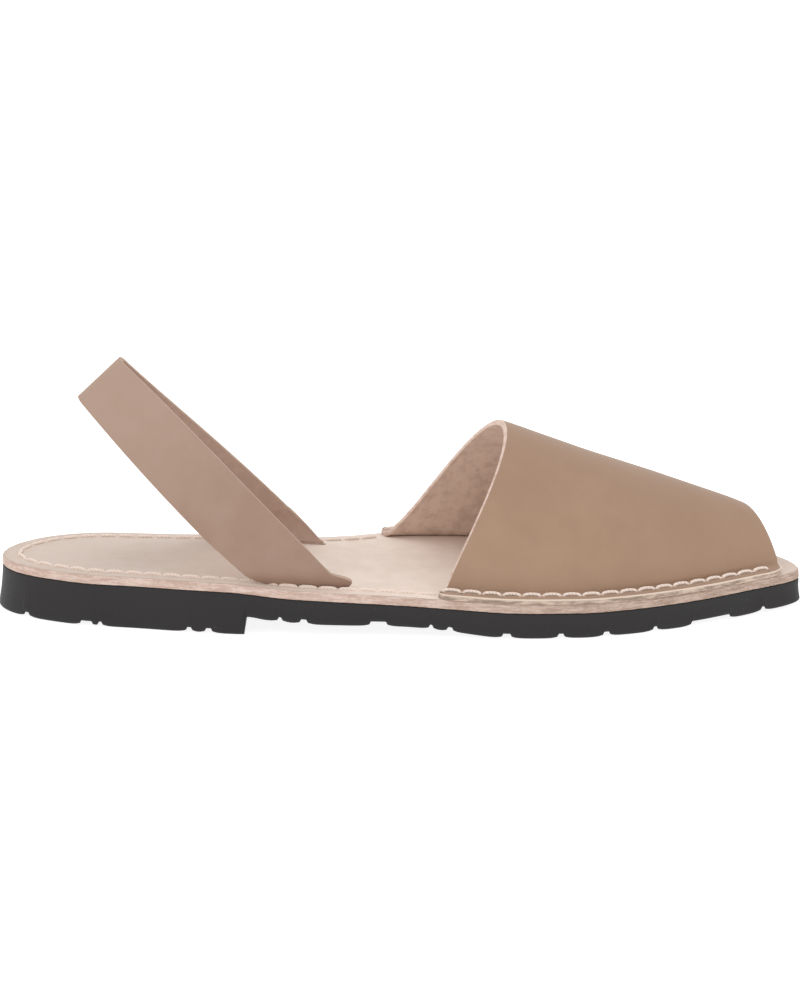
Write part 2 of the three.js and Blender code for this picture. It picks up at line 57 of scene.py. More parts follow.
# %% The maker's sizes
SOLE_LENGTH, BALL_WIDTH = 265.0, 94.0
HEEL_ROUND, TOE_ROUND, TIP_SHIFT = 34.0, 34.0, 3.0
HEEL_HEIGHT, HEEL_LENGTH, BREAST_STEP, BREAST_RAKE = 13.9, 82.0, 5.9, 0.7
TOE_SPRING, HEEL_FLARE, SOLE_FLARE = 1.5, 1.6, 0.6
FOOTBED_THICKNESS, SEAT_GAP = 2.8, 0.3
VAMP_THICKNESS = 1.7
FLANGE = 5.6  # width of the vamp's turned-out edge
STRAP_THICKNESS = 1.8
STITCH_PITCH = 6.45
LATERAL, MEDIAL = -1, 1  # the little-toe side and the big-toe side

# Share of the length, then how far out on each side as a share of the ball width.
OUTLINE = np.array([
    [0.00, 0.262, 0.285], [0.06, 0.270, 0.298], [0.12, 0.304, 0.297], [0.17, 0.330, 0.287],
    [0.23, 0.371, 0.276], [0.30, 0.410, 0.278], [0.37, 0.436, 0.301], [0.43, 0.447, 0.350],
    [0.48, 0.453, 0.421], [0.54, 0.460, 0.470], [0.60, 0.467, 0.502], [0.66, 0.474, 0.521],
    [0.72, 0.464, 0.517], [0.78, 0.416, 0.487], [0.84, 0.342, 0.437], [0.90, 0.252, 0.392],
    [0.95, 0.190, 0.345], [1.00, 0.160, 0.290],
])
# Share of the length, then the rubber's top, the arch below the waist and the rise of the ends.
PROFILE = np.array([
    [0.000, 1.000, 0.00, 0.00], [0.090, 0.991, 0.00, 0.00], [0.140, 0.986, 0.00, 0.00],
    [0.290, 0.971, 1.00, 0.00], [0.315, 0.942, 0.98, 0.00], [0.335, 0.907, 0.83, 0.00],
    [0.360, 0.865, 0.73, 0.00], [0.400, 0.830, 0.63, 0.00], [0.430, 0.806, 0.62, 0.00],
    [0.500, 0.748, 0.59, 0.00], [0.570, 0.662, 0.28, 0.00], [0.632, 0.593, 0.00, 0.00],
    [0.696, 0.583, 0.00, 0.00], [0.760, 0.576, 0.00, 0.00],
    [0.850, 0.586, 0.00, 0.00], [0.930, 0.612, 0.00, 0.32], [1.000, 0.662, 0.00, 1.00],
])
# Tread grooves: share of the length, and width.
GROOVES = np.array([
    [0.038, 2.4], [0.114, 4.4], [0.131, 1.8], [0.242, 2.2], [0.266, 2.6], [0.353, 1.7],
    [0.382, 2.6], [0.473, 5.8], [0.537, 1.6], [0.560, 2.2], [0.629, 3.2], [0.695, 2.4],
    [0.751, 2.6], [0.812, 2.0], [0.883, 14.0], [0.952, 2.0],
])
print("sole", SOLE_LENGTH, "mm long,", BALL_WIDTH, "mm across the ball")

# %% [markdown]
# ## Curves that don't overshoot
# A table of a few rows becomes a smooth curve by joining the rows with cubic pieces. A plain
# spline would ripple between them; taking each slope as the harmonic mean of its neighbours keeps
# every bump where the maker put it.


# %% Read a table as a smooth curve
def lerp(a, b, share):
    """a plus that share of the way to b."""
    return a + (b - a) * share


def smooth(value, low, high):
    """0 below low, 1 above high, and 3 t squared minus 2 t cubed between."""
    t = np.clip((value - low) / (high - low), 0, 1)
    return t * t * (3 - 2 * t)


def read_curve(rows, column, share):
    """Cubic between two rows, with each inner slope the harmonic mean of its two neighbours, or
    0 where they point opposite ways."""
    at, value = rows[:, 0], rows[:, column]
    slope = np.diff(value) / np.diff(at)
    before, after = slope[:-1], slope[1:]
    total = np.where(before + after == 0, 1, before + after)
    inner = np.where(before * after > 0, 2 * before * after / total, 0)
    tangent = np.concatenate([slope[:1], inner, slope[-1:]])
    share = np.clip(share, at[0], at[-1])
    i = np.clip(np.searchsorted(at, share, side="right") - 1, 0, len(at) - 2)
    span = at[i + 1] - at[i]
    t = (share - at[i]) / span
    start = value[i] * (1 + 2 * t) * (1 - t) ** 2 + tangent[i] * span * t * (1 - t) ** 2
    return start + value[i + 1] * t * t * (3 - 2 * t) + tangent[i + 1] * span * t * t * (t - 1)


# %% The edge of the sole
def round_end(distance, length):
    """A quarter circle: the root of 1 minus q squared, with q falling from 1 at the tip to 0."""
    q = np.clip(1 - distance / length, 0, 1)
    return np.sqrt(1 - q * q)


def edge(turn, side):
    """x is half the length times 1 minus the cosine of the turn, so points crowd at the round
    ends. y is the table's reach, times the two rounded ends."""
    x = SOLE_LENGTH * (1 - np.cos(turn)) / 2
    reach = side * BALL_WIDTH * read_curve(OUTLINE, 1 if side < 0 else 2, x / SOLE_LENGTH)
    toe = round_end(SOLE_LENGTH - x, TOE_ROUND)
    y = reach * round_end(x, HEEL_ROUND) * toe - TIP_SHIFT * (1 - toe)
    return np.stack([x, y], -1)


def outward(turn, side):
    """Unit vector out of the sole: the edge's direction turned by a right angle."""
    along = edge(np.clip(turn + 0.004, 0, np.pi), side) - edge(np.clip(turn - 0.004, 0, np.pi), side)
    along = along / np.linalg.norm(along, axis=-1, keepdims=True)
    return np.stack([-side * along[..., 1], side * along[..., 0]], -1)


def inset(turn, side, distance):
    """The edge moved into the sole, square to itself."""
    return edge(turn, side) - outward(turn, side) * np.asarray(distance)[..., None]


def turn_at(x, side, distance):
    """The turn where the inset curve reaches x, read backwards from a dense run of it."""
    turn = np.linspace(0.02, np.pi - 0.02, 4000)
    return np.interp(x, inset(turn, side, np.full(4000, distance))[:, 0], turn)


def rubber_top(x):
    return HEEL_HEIGHT * read_curve(PROFILE, 1, x / SOLE_LENGTH)


def footbed_top(x):
    return rubber_top(x) + SEAT_GAP + FOOTBED_THICKNESS


dense = edge(np.linspace(0, np.pi, 2000), LATERAL)
SHIFT = np.array([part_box("footbed")[0].x * 1000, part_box("footbed")[0].y * 1000 - dense[:, 1].min(), 0])
print("the sole's heel lies", SHIFT.round(2), "mm from the middle of the frame")

# %% [markdown]
# ## From points to a mesh
# Blender stores a mesh as plain lists, and whole numpy arrays can be poured into them. Each piece
# below is a grid of points; this step joins neighbours with four-sided faces, merges what meets,
# and turns everything outwards by the sign of the volume.


# %% Grid to mesh
def grid_faces(index, closed_rows=False, closed_columns=False):
    """Four neighbours of a grid of point numbers make one face."""
    if closed_rows:
        index = np.concatenate([index, index[:1]])
    if closed_columns:
        index = np.concatenate([index, index[:, :1]], axis=1)
    corners = [index[:-1, :-1], index[:-1, 1:], index[1:, 1:], index[1:, :-1]]
    return np.stack(corners, -1).reshape(-1, 4)


def grid_normal(grid):
    """Cross product of the differences along the two ways of the grid, made a unit vector."""
    normal = np.cross(np.gradient(grid, axis=1), np.gradient(grid, axis=0))
    return normal / np.maximum(np.linalg.norm(normal, axis=-1, keepdims=True), 1e-9)


def make_piece(name, points, faces, slot_name, attributes=None, angle=40):
    """Pours points in millimetres and faces into a mesh, in metres and in the frame's place. The
    volume is the sum of each corner times the cross product of the next two."""
    a, b, c, d = [points[faces[:, k]] for k in range(4)]
    volume = (a * np.cross(b, c)).sum() + (a * np.cross(c, d)).sum()
    if volume < 0:
        faces = faces[:, ::-1]
    mesh = bpy.data.meshes.new(name)
    mesh.from_pydata(((points + SHIFT) / 1000).tolist(), [], faces.tolist())
    for key, values in (attributes or {}).items():
        layer = mesh.attributes.new(key, "FLOAT", "POINT")
        layer.data.foreach_set("value", np.asarray(values, np.float32).ravel())
    work = bmesh.new()
    work.from_mesh(mesh)
    bmesh.ops.remove_doubles(work, verts=work.verts, dist=1e-6)
    bmesh.ops.dissolve_degenerate(work, edges=work.edges, dist=1e-7)
    work.to_mesh(mesh)
    work.free()
    mesh.polygons.foreach_set("use_smooth", np.ones(len(mesh.polygons), bool))
    mesh.set_sharp_from_angle(angle=np.radians(angle))
    piece = bpy.data.objects.new(name, mesh)
    bpy.context.scene.collection.objects.link(piece)
    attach(piece, "root")
    triangles = sum(len(p.vertices) - 2 for p in mesh.polygons)
    print(f"{name}: {len(mesh.vertices)} points, {triangles} triangles")
    return piece


# %% [markdown]
# ## The outsole
# The rubber comes out of one mould: a heel block, an arched waist and a flat tread cut across by
# grooves. It could be a box with Boolean cuts, but a row of cross-sections is cleaner, because a
# section can stand exactly at each groove's corner. The blocks between the grooves are worn round.


# %% Side view of the tread
def underside(x):
    """The arch begins at the heel's breast, and the toe rises at the end."""
    breast = np.clip((x - HEEL_LENGTH) / BREAST_RAKE, 0, 1)
    arch = BREAST_STEP * breast * read_curve(PROFILE, 2, x / SOLE_LENGTH)
    return arch + TOE_SPRING * read_curve(PROFILE, 3, x / SOLE_LENGTH)


GROOVE_LIP, GROOVE_DEPTH = 0.55, 1.5  # at the groove's corner and at its bottom
GROOVE_WALL, WEAR_REACH = 0.5, 1.3  # length of the slanted wall, and of the worn corner beside it


def groove_depth(x):
    """Inside a groove the depth climbs in a straight line from lip to bottom; outside it dies away
    as a power of e, so the blocks are round."""
    inside = GROOVES[:, 1] / 2 - np.abs(np.asarray(x)[..., None] - GROOVES[:, 0] * SOLE_LENGTH)
    cut = lerp(GROOVE_LIP, GROOVE_DEPTH, np.clip(inside / GROOVE_WALL, 0, 1))
    worn = GROOVE_LIP * np.exp(np.minimum(inside, 0) / WEAR_REACH)
    return np.where(inside > 0, cut, worn).max(-1)


# %% Make the outsole
FOOT_RADIUS, TOP_RADIUS = 1.0, 0.45  # the wall's lower and upper corner
TOP_LEDGE, WALL_HOLLOW = 0.05, 0.22  # past the footbed at the top, and how far the wall curves in


def outsole_stations(count):
    """Even turns, and a pair of turns close to each corner of the side view."""
    middle, half = GROOVES[:, 0] * SOLE_LENGTH, GROOVES[:, 1] / 2
    corners = np.concatenate([middle - half, middle + half,
                              middle - half + GROOVE_WALL, middle + half - GROOVE_WALL,
                              [HEEL_LENGTH, HEEL_LENGTH + BREAST_RAKE]])
    near_corners = np.concatenate([corners - 0.1, corners, corners + 0.1])
    sharp = np.arccos(1 - 2 * near_corners / SOLE_LENGTH)
    return np.unique(np.concatenate([np.linspace(0, np.pi, count), sharp]))


def make_outsole():
    """Each section runs up one wall, over the top, down the other wall and back underneath. The
    corners of the wall are quarter circles."""
    turn = outsole_stations(330)
    x = edge(turn, LATERAL)[:, 0]
    low, high = underside(x) + groove_depth(x), rubber_top(x)
    flare = lerp(HEEL_FLARE, SOLE_FLARE, smooth(x, HEEL_LENGTH - 6, HEEL_LENGTH + 8))
    low, high, flare = low[:, None], high[:, None], flare[:, None]
    arc = np.linspace(0, np.pi / 2, 6)
    wall = np.linspace(0, 1, 9)[1:-1]
    # How far each point lies outside the footbed's edge, and how high.
    foot_out = flare - FOOT_RADIUS + FOOT_RADIUS * np.sin(arc)
    foot_up = low + FOOT_RADIUS * (1 - np.cos(arc))
    wall_out = lerp(flare, TOP_LEDGE, wall) - WALL_HOLLOW * np.sin(np.pi * wall)
    wall_up = lerp(low + FOOT_RADIUS, high - TOP_RADIUS, wall)
    top_out = TOP_LEDGE - TOP_RADIUS + TOP_RADIUS * np.cos(arc) + 0 * low
    top_up = high - TOP_RADIUS + TOP_RADIUS * np.sin(arc)
    out = np.concatenate([foot_out, wall_out, top_out], 1)
    up = np.concatenate([foot_up, wall_up, top_up], 1)
    sides = []
    for side in (LATERAL, MEDIAL):
        plan = inset(turn[:, None] + 0 * out, side, -out)
        sides.append(np.concatenate([plan, up[..., None]], -1))
    lateral, medial = sides
    over = lerp(lateral[:, -1:], medial[:, -1:], np.linspace(0, 1, 6)[1:-1, None])
    under = lerp(medial[:, :1], lateral[:, :1], np.linspace(0, 1, 22)[1:-1, None])
    rings = np.concatenate([lateral, over, medial[:, ::-1], under], 1)
    index = np.arange(rings.shape[0] * rings.shape[1]).reshape(rings.shape[:2])
    return rings.reshape(-1, 3), grid_faces(index, closed_columns=True)


outsole = make_piece("outsole_rubber", *make_outsole(), "sole_rubber", angle=34)
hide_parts("outsole")

# %% [markdown]
# ## The footbed
# One piece of thick vegetable-tanned leather, cut with a knife, so its edge is square, raw and a
# little fibrous. A profile carried round the outline gives the edge its small round corners, and
# from the last inset line the surface runs in to a middle line.


# %% Carry a profile round the outline
def closed_outline(count):
    """Turns and sides once round the sole: up the little-toe side and back on the other."""
    up = np.linspace(0, np.pi, count)
    turn = np.concatenate([up, up[-2:0:-1]])
    side = np.concatenate([np.full(count, LATERAL), np.full(count - 2, MEDIAL)])
    return turn, side


def around(turn, side, distance):
    """inset() for a run of points that change side on the way."""
    both = [inset(turn, s, distance) for s in (LATERAL, MEDIAL)]
    return np.where((side < 0)[..., None], both[0], both[1])


def run_length(points):
    """How far each point is along a line of points."""
    return np.concatenate([[0], np.cumsum(np.linalg.norm(np.diff(points, axis=0), axis=1))])


BED_ROW = 5.4  # the bare stitch row, in from the edge
turn, side = closed_outline(900)
bed_line = around(turn, side, np.full(len(turn), BED_ROW))
bed_run = run_length(np.concatenate([bed_line, bed_line[:1]]))
print("a line", BED_ROW, "mm in from the footbed's edge is", round(bed_run[-1]), "mm long")


# %% Make the footbed
BED_CORNER = 0.5  # radius of the cut edge's two corners
SEAT_SKIN = 0.04  # what stays open of the gap between solids, which the leather fills
PRESS_DEPTH, PRESS_WIDTH = 0.05, 0.9  # the shallow line that the stitches press in


def outward_around(turn, side):
    """outward() for a run of points that change side on the way."""
    return np.where((side < 0)[..., None], outward(turn, LATERAL), outward(turn, MEDIAL))


def make_footbed():
    """Columns of the profile: the underside from the middle line out, the cut edge with two round
    corners, then the top side back in to the middle line."""
    corner = np.radians([10, 30, 50, 70, 90])
    round_in, round_up = BED_CORNER * (1 - np.sin(corner)), BED_CORNER * np.cos(corner)
    level = np.linspace(0, 1, 7)[1:-1]
    insets = np.concatenate([[12, 4, 0.6], round_in, np.zeros(5), round_in[::-1], [0.8, 1.4, 2.2],
                             np.arange(3, 8.1, 0.5), [9, 10.5, 12.5]])
    base, top = -SEAT_GAP + SEAT_SKIN, FOOTBED_THICKNESS
    ups = np.concatenate([[base, base, base], base + BED_CORNER - round_up,
                          lerp(base + BED_CORNER, top - BED_CORNER, level),
                          top - BED_CORNER + round_up[::-1], np.full(len(insets) - 18, top)])
    rows = len(turn)
    grid_turn = np.repeat(turn[:, None], len(insets), 1)
    grid_side = np.repeat(side[:, None], len(insets), 1)
    plan = around(grid_turn, grid_side, insets + 0 * grid_turn)
    # Two sines, one inside the other, make the cut edge uneven by less than a tenth of a millimetre.
    run = bed_run[:-1, None]
    shake = 0.06 * np.sin(run * 1.9 + 3 * np.sin(run * 0.31) + ups * 2.1)
    raw = ((insets < 0.4) & (ups > base + 0.05))[None, :]
    plan = plan + outward_around(grid_turn, grid_side) * np.where(raw, shake, 0)[..., None]
    spine_x = np.clip(edge(turn, LATERAL)[:, 0], 26, SOLE_LENGTH - 22)
    spine_turn = np.arccos(1 - 2 * spine_x / SOLE_LENGTH)
    spine = (edge(spine_turn, LATERAL) + edge(spine_turn, MEDIAL)) / 2
    inward = np.linspace(0, 1, 6)[1:]
    fill_top = lerp(plan[:, -1:], spine[:, None], inward[:, None])
    fill_base = lerp(plan[:, :1], spine[:, None], inward[::-1, None])
    plan = np.concatenate([fill_base, plan, fill_top], 1)
    ups = np.concatenate([np.full(5, base), ups, np.full(5, top)])
    insets = np.concatenate([np.full(5, 20.0), insets, np.full(5, 20.0)])
    press = -PRESS_DEPTH * np.exp(-(((insets - BED_ROW) / PRESS_WIDTH) ** 2)) * (ups > top - 0.1)
    height = rubber_top(plan[..., 0]) + SEAT_GAP + ups + press
    grid = np.concatenate([plan, height[..., None]], -1)
    index = np.arange(rows * len(ups)).reshape(rows, len(ups))
    cut_edge = (insets < BED_CORNER - 0.05) & (ups > base + 0.01) & (ups < top - 0.01)
    attributes = {"cut_edge": np.tile(cut_edge * 1.0, (rows, 1))}
    return grid.reshape(-1, 3), grid_faces(index, closed_rows=True), attributes


points, faces, attributes = make_footbed()
footbed = make_piece("footbed_leather", points, faces, "footbed_leather", attributes, angle=50)
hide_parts("footbed")

# %% [markdown]
# ## A sheet of leather
# Vamp and strap are sheets of an even thickness. Blender's Solidify could thicken them, but its
# rims are flat and can't be told from the faces. Here the edge gets rings of its own, which makes
# it round and lets the material know how deep into the leather each point lies.


# %% Thicken a grid into leather
RIM_DEPTH = np.array([0.07, 0.25, 0.5, 0.75, 0.93])
RIM_BULGE = 0.1412  # as a share of the thickness


def thick_sheet(outer, thickness, extra=None, bevel=0.0):
    """The inner face lies a thickness behind the outer one, along its normals. Between their rims
    run five rings that bulge by a sine. A bevel makes the inner face reach further at the first
    row, like a cut with a slanting knife."""
    rows, columns = outer.shape[:2]
    inner = outer + grid_normal(outer) * thickness
    index = np.arange(rows * columns).reshape(rows, columns)
    rim = np.concatenate([index[0, :-1], index[:-1, -1], index[-1, :0:-1], index[:0:-1, 0]])
    one_in_row = np.clip(np.arange(rows), 1, rows - 2)
    one_in_column = np.clip(np.arange(columns), 1, columns - 2)
    beside = index[np.ix_(one_in_row, one_in_column)].ravel()[rim]
    flat_outer, flat_inner = outer.reshape(-1, 3), inner.reshape(-1, 3)
    away = flat_outer[rim] - flat_outer[beside]
    away = away / np.linalg.norm(away, axis=1, keepdims=True)
    first_row = rim < columns
    flat_inner[rim[first_row]] += away[first_row] * (bevel + np.zeros(columns))[rim[first_row], None]
    depth = RIM_DEPTH[:, None, None]
    bulge = RIM_BULGE * abs(thickness) * np.sin(np.pi * depth)
    rings = lerp(flat_outer[rim], flat_inner[rim], depth) + away * bulge
    count = rows * columns
    ring_index = 2 * count + np.arange(len(RIM_DEPTH) * len(rim)).reshape(len(RIM_DEPTH), -1)
    strips = np.concatenate([rim[None], ring_index, rim[None] + count])
    faces = np.concatenate([grid_faces(index), grid_faces(index + count)[:, ::-1],
                            grid_faces(strips, closed_columns=True)[:, ::-1]])
    points = np.concatenate([flat_outer, flat_inner, rings.reshape(-1, 3)])
    deep = np.concatenate([np.zeros(count), np.ones(count), np.repeat(RIM_DEPTH, len(rim))])
    attributes = {"depth": deep}
    for key, values in (extra or {}).items():
        flat = values.ravel()
        attributes[key] = np.concatenate([flat, flat, np.tile(flat[rim], len(RIM_DEPTH))])
    return points, faces, attributes


# %% [markdown]
# ## The vamp
# The vamp is one arched piece over the forefoot. Its lower edges are turned outwards, so they lie
# flat on the footbed and can be sewn through from above. Throat and toe opening are ellipses that
# lean forwards; every row between them is a blend of the two.

# %% The vamp's sizes
THROAT_LATERAL, THROAT_MEDIAL, THROAT_HEIGHT, THROAT_LEAN = 147.4, 127.4, 47.2, 29.1
OPENING_LATERAL, OPENING_MEDIAL, OPENING_HEIGHT, OPENING_LEAN = 257.8, 234.9, 17.4, 0.8
RIDGE_CROWN, SHOULDER_DROP, SHOULDER_START = 1.4, 0.3, 0.92
# Powers of cosine and sine: 1 and 1 make half an ellipse. First at the throat, then at the toe.
ACROSS_POWER, UP_POWER = (1.08, 1.06), (1.22, 1.85)
LEAN_LATERAL, LEAN_MEDIAL = (1.17, 0.35), (0.72, 0.35)
THROAT_CORNER, OPENING_CORNER, THROAT_REACH, CORNER_FADE = 3.4, 6.5, 2.4, 0.25
FILLET_FLAT, FILLET_RISE = 1.0, 1.5  # how much of flange and wall the curve between them takes up
VAMP_ROW = 3.4  # the stitch row on the flange, in from its edge


def vamp_arch(length, across):
    """Little-toe and big-toe crease points joined by half a superellipse: sideways by a power of
    the cosine of the turn across, upwards by a power of its sine, and forwards by a power of that."""
    lateral_x = lerp(THROAT_LATERAL, OPENING_LATERAL, length)
    medial_x = lerp(THROAT_MEDIAL, OPENING_MEDIAL, length)
    lateral, medial = [inset(turn_at(x, side, FLANGE), side, np.full(x.shape, FLANGE))
                       for x, side in ((lateral_x, LATERAL), (medial_x, MEDIAL))]
    sideways = np.cos(across)
    share = (1 + np.sign(sideways) * np.abs(sideways) ** lerp(*ACROSS_POWER, length)) / 2
    rise = np.maximum(np.sin(across), 0) ** lerp(*UP_POWER, length)
    straight = lerp(THROAT_HEIGHT, OPENING_HEIGHT + SHOULDER_DROP, length)
    shoulder = np.clip((length - SHOULDER_START) / (1 - SHOULDER_START), 0, 1)
    height = straight + 4 * RIDGE_CROWN * length * (1 - length) - SHOULDER_DROP * shoulder**2
    lean = lerp(THROAT_LEAN, OPENING_LEAN, length)
    power = np.where(share < 0.5, lerp(*LEAN_LATERAL, length), lerp(*LEAN_MEDIAL, length))
    seat = lerp(footbed_top(lateral_x), footbed_top(medial_x), share)
    x = lerp(lateral[..., 0], medial[..., 0], share) + lean * rise**power
    y = lerp(lateral[..., 1], medial[..., 1], share)
    return np.stack([x, y, seat + SEAT_GAP + VAMP_THICKNESS + height * rise], -1)


# %% Make the vamp
def corner_pull(length, side, insets):
    """Quarter circles draw the flange's corners in, and near the throat it reaches back a little
    on the little-toe side; both die away along the vamp by a square."""
    throat, opening = [radius * (1 - np.sqrt(1 - np.clip(1 - insets / radius, 0, 1) ** 2))
                       for radius in (THROAT_CORNER, OPENING_CORNER)]
    back = THROAT_REACH * (side < 0) * np.clip(2 - 2 * insets / FLANGE, 0, 1)
    at_throat, at_opening = [np.clip(1 - way / CORNER_FADE, 0, 1) ** 2 for way in (length, 1 - length)]
    return (throat - back) * at_throat - opening * at_opening


def flange(length, side, insets):
    """The turned-out edge: flat on the footbed at each of the insets."""
    ends = (THROAT_LATERAL, OPENING_LATERAL) if side < 0 else (THROAT_MEDIAL, OPENING_MEDIAL)
    x = lerp(ends[0], ends[1], length) + corner_pull(length, side, insets)
    plan = inset(turn_at(x, side, FLANGE), side, insets + 0 * x)
    return np.concatenate([plan, footbed_top(plan[..., :1]) + SEAT_GAP + VAMP_THICKNESS], -1)


def fillet(before, corner, after, share):
    """Quadratic curve: it leaves along before-corner and arrives along corner-after."""
    return lerp(lerp(before, corner, share), lerp(corner, after, share), share)


def make_vamp():
    """Rows run from throat to toe opening, columns from flange edge over the ridge to the other."""
    length = np.linspace(0, 1, 150)[:, None]
    low_share = FILLET_RISE / lerp(THROAT_HEIGHT, OPENING_HEIGHT, length)
    first = np.arcsin(low_share ** (1 / lerp(*UP_POWER, length)))
    wall = vamp_arch(length, lerp(np.pi - first, first, np.linspace(0, 1, 110)[None, :]))
    share = np.linspace(0, 1, 8)[1:-1, None]
    halves, runs = [], []
    for side, base, start in ((LATERAL, np.pi, wall[:, :1]), (MEDIAL, 0.0, wall[:, -1:])):
        insets = np.linspace(0, FLANGE - FILLET_FLAT, 14)[None, :]
        flat = flange(length, side, insets)
        corner = vamp_arch(length, np.full((1, 1), base))
        halves.append(np.concatenate([flat, fillet(flat[:, -1:], corner, start, share)], 1))
        runs.append(run_length(flange(length, side, np.array([[VAMP_ROW]]))[:, 0]))
    lateral, medial = halves
    outer = np.concatenate([lateral, wall, medial[:, ::-1]], 1)
    away = run_columns(outer)
    near, far = away, away[:, -1:] - away
    lateral_half = np.arange(outer.shape[1])[None, :] < outer.shape[1] // 2
    run = np.where(lateral_half, runs[0][:, None], runs[1][:, None]) / STITCH_PITCH
    from_edge = np.minimum(near, far)
    return outer, {"stitch_run": run, "row_distance": from_edge - VAMP_ROW, "from_edge": from_edge}


def run_columns(grid):
    """How far each point is along its row of the grid."""
    steps = np.linalg.norm(np.diff(grid, axis=1), axis=-1)
    return np.concatenate([np.zeros((len(grid), 1)), np.cumsum(steps, 1)], 1)


vamp_grid, vamp_extra = make_vamp()
# At the throat the knife slants, so a pale rim shows from the front; the flange's end is square.
bevel = 0.5 * smooth(vamp_extra["from_edge"][0], 8, 13)
filled = VAMP_THICKNESS + SEAT_GAP - SEAT_SKIN
points, faces, attributes = thick_sheet(vamp_grid, filled, vamp_extra, bevel)
vamp = make_piece("vamp_leather", points, faces, "vamp_leather", attributes)
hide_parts("vamp")

# %% [markdown]
# ## The heel strap
# A straight band that rises from the footbed at 47 degrees, rounds the heel and comes down again.
# It could be a curve with a bevel profile, but a band has to stay upright while it turns, so its
# rear and front edges are worked out as two lines and joined.

# %% The strap's sizes
STRAP_WIDTH, STRAP_BACK_WIDTH, WIDTH_POWER = 21.1, 18.9, 4
STRAP_RISE, STRAP_REACH = np.radians(46.8), 94.3
STRAP_CENTRE, STRAP_SETBACK, SETBACK_POWER, STRAP_INSET = 99.0, 7.6, 3.2, 7.2
STRAP_BOW, CONVERGE_POWER = 3.6, 1.4
LOOP_DEPTH, LOOP_HALF_WIDTH, LOOP_START, LOOP_SHIFT = 5.6, 3.4, 0.63, -7.1
LOOP_DROOP, DROOP_POWER = 6.3, 1.75
KICK = {LATERAL: 1.5, MEDIAL: 0.4}
# Round lower corner behind and forward lip on the little-toe side: length, height, power.
REAR_CUT, FOOT_LIP = (8.0, 3.4), (4.1, 4.4, 1.2)
FOOT_KICK_HEIGHT, FOOT_BULGE, FOOT_BULGE_HEIGHT = 18.0, 1.3, 12.0


def strap_foot(side):
    """The slit's ends and its place between the edges of the footbed."""
    middle = STRAP_CENTRE - (STRAP_SETBACK if side > 0 else 0) + KICK[side]
    half = STRAP_WIDTH / 2 / np.sin(STRAP_RISE)
    at = turn_at(np.array([middle]), side, STRAP_INSET)
    y = inset(at, side, np.array([STRAP_INSET]))[0, 1]
    return middle - half + REAR_CUT[0], middle + half, middle, y


def strap_edge(side, sign, slope_share, turn):
    """Rear edge for sign -1, front edge for 1. The sides close in by a power of their share, and
    where they reach the ellipse of the loop, its sine and cosine carry the band round the heel."""
    foot_y = strap_foot(side)[3]
    medial_share = (1 + side * np.cos(turn)) / 2
    seats = [footbed_top(np.array(strap_foot(s)[2])) for s in (LATERAL, MEDIAL)]
    start = -sign * STRAP_WIDTH / 2 / np.tan(STRAP_RISE)
    bend = lerp(LOOP_START, np.pi / 2, turn / (np.pi / 2))
    straight = STRAP_REACH - LOOP_DEPTH * (1 - np.sin(LOOP_START))
    slope = start + slope_share * (straight - start) + LOOP_DEPTH * (np.sin(bend) - np.sin(LOOP_START))
    share = np.clip(slope / STRAP_REACH, 0, 1)
    leg = np.clip((slope - start) / (straight - start), 0, 1)
    width = lerp(STRAP_WIDTH, STRAP_BACK_WIDTH, share**WIDTH_POWER)
    height = slope * np.sin(STRAP_RISE) + sign * width / 2 * np.cos(STRAP_RISE)
    low = np.clip(1 - height / REAR_CUT[1], 0, 1)
    lip = FOOT_LIP[0] * (side < 0) * np.sin(np.pi * np.clip(height / FOOT_LIP[1], 0, 1) ** FOOT_LIP[2])
    corner = lip if sign > 0 else REAR_CUT[0] * (1 - np.sqrt(1 - low**2))
    near = np.maximum(0, 1 - height / FOOT_KICK_HEIGHT) ** 2
    bulge = side * FOOT_BULGE * np.sin(np.pi * np.clip(height / FOOT_BULGE_HEIGHT, 0, 1))
    loop_y = LOOP_SHIFT + side * LOOP_HALF_WIDTH * np.cos(bend)
    leg_y = lerp(foot_y, loop_y, leg**CONVERGE_POWER) + side * STRAP_BOW * np.sin(np.pi * leg) + bulge
    x = STRAP_CENTRE - slope * np.cos(STRAP_RISE) + sign * width / 2 * np.sin(STRAP_RISE)
    x = x + KICK[side] * near + corner
    x = x - STRAP_SETBACK * (1 - share**SETBACK_POWER) * medial_share
    ground = lerp(lerp(seats[0], seats[1], medial_share), footbed_top(x), near)
    z = ground + height - LOOP_DROOP * share**DROOP_POWER
    return np.stack([x, np.where(turn > 0, loop_y, leg_y), z], -1)


# %% Cut the slits
def cut_slit(piece, side):
    """A box, a little longer and wider than the strap's end, taken out with the exact Boolean."""
    rear, front, _, y = strap_foot(side)
    half = STRAP_THICKNESS / 2 + SEAT_GAP / 2
    play = 2.5 * SEAT_GAP
    spans = [rear - play, front + play], [y - half, y + half], [0.0, 40.0]
    corners = np.array(np.meshgrid(*spans, indexing="ij")).reshape(3, 8).T
    tool_mesh = bpy.data.meshes.new("slit_tool")
    faces = [(0, 1, 3, 2), (4, 6, 7, 5), (0, 4, 5, 1), (2, 3, 7, 6), (0, 2, 6, 4), (1, 5, 7, 3)]
    tool_mesh.from_pydata(((corners + SHIFT) / 1000).tolist(), [], faces)
    tool = bpy.data.objects.new("slit_tool", tool_mesh)
    bpy.context.scene.collection.objects.link(tool)
    cut = piece.modifiers.new("slit", "BOOLEAN")
    cut.operation, cut.solver, cut.object = "DIFFERENCE", "EXACT", tool
    with bpy.context.temp_override(object=piece, active_object=piece):
        bpy.ops.object.modifier_apply(modifier="slit")
    bpy.data.objects.remove(tool)
    print(f"slit from {rear:.1f} to {front:.1f} mm: footbed now {len(piece.data.vertices)} points")


cut_slit(footbed, LATERAL)
cut_slit(footbed, MEDIAL)
footbed.data.set_sharp_from_angle(angle=np.radians(50))


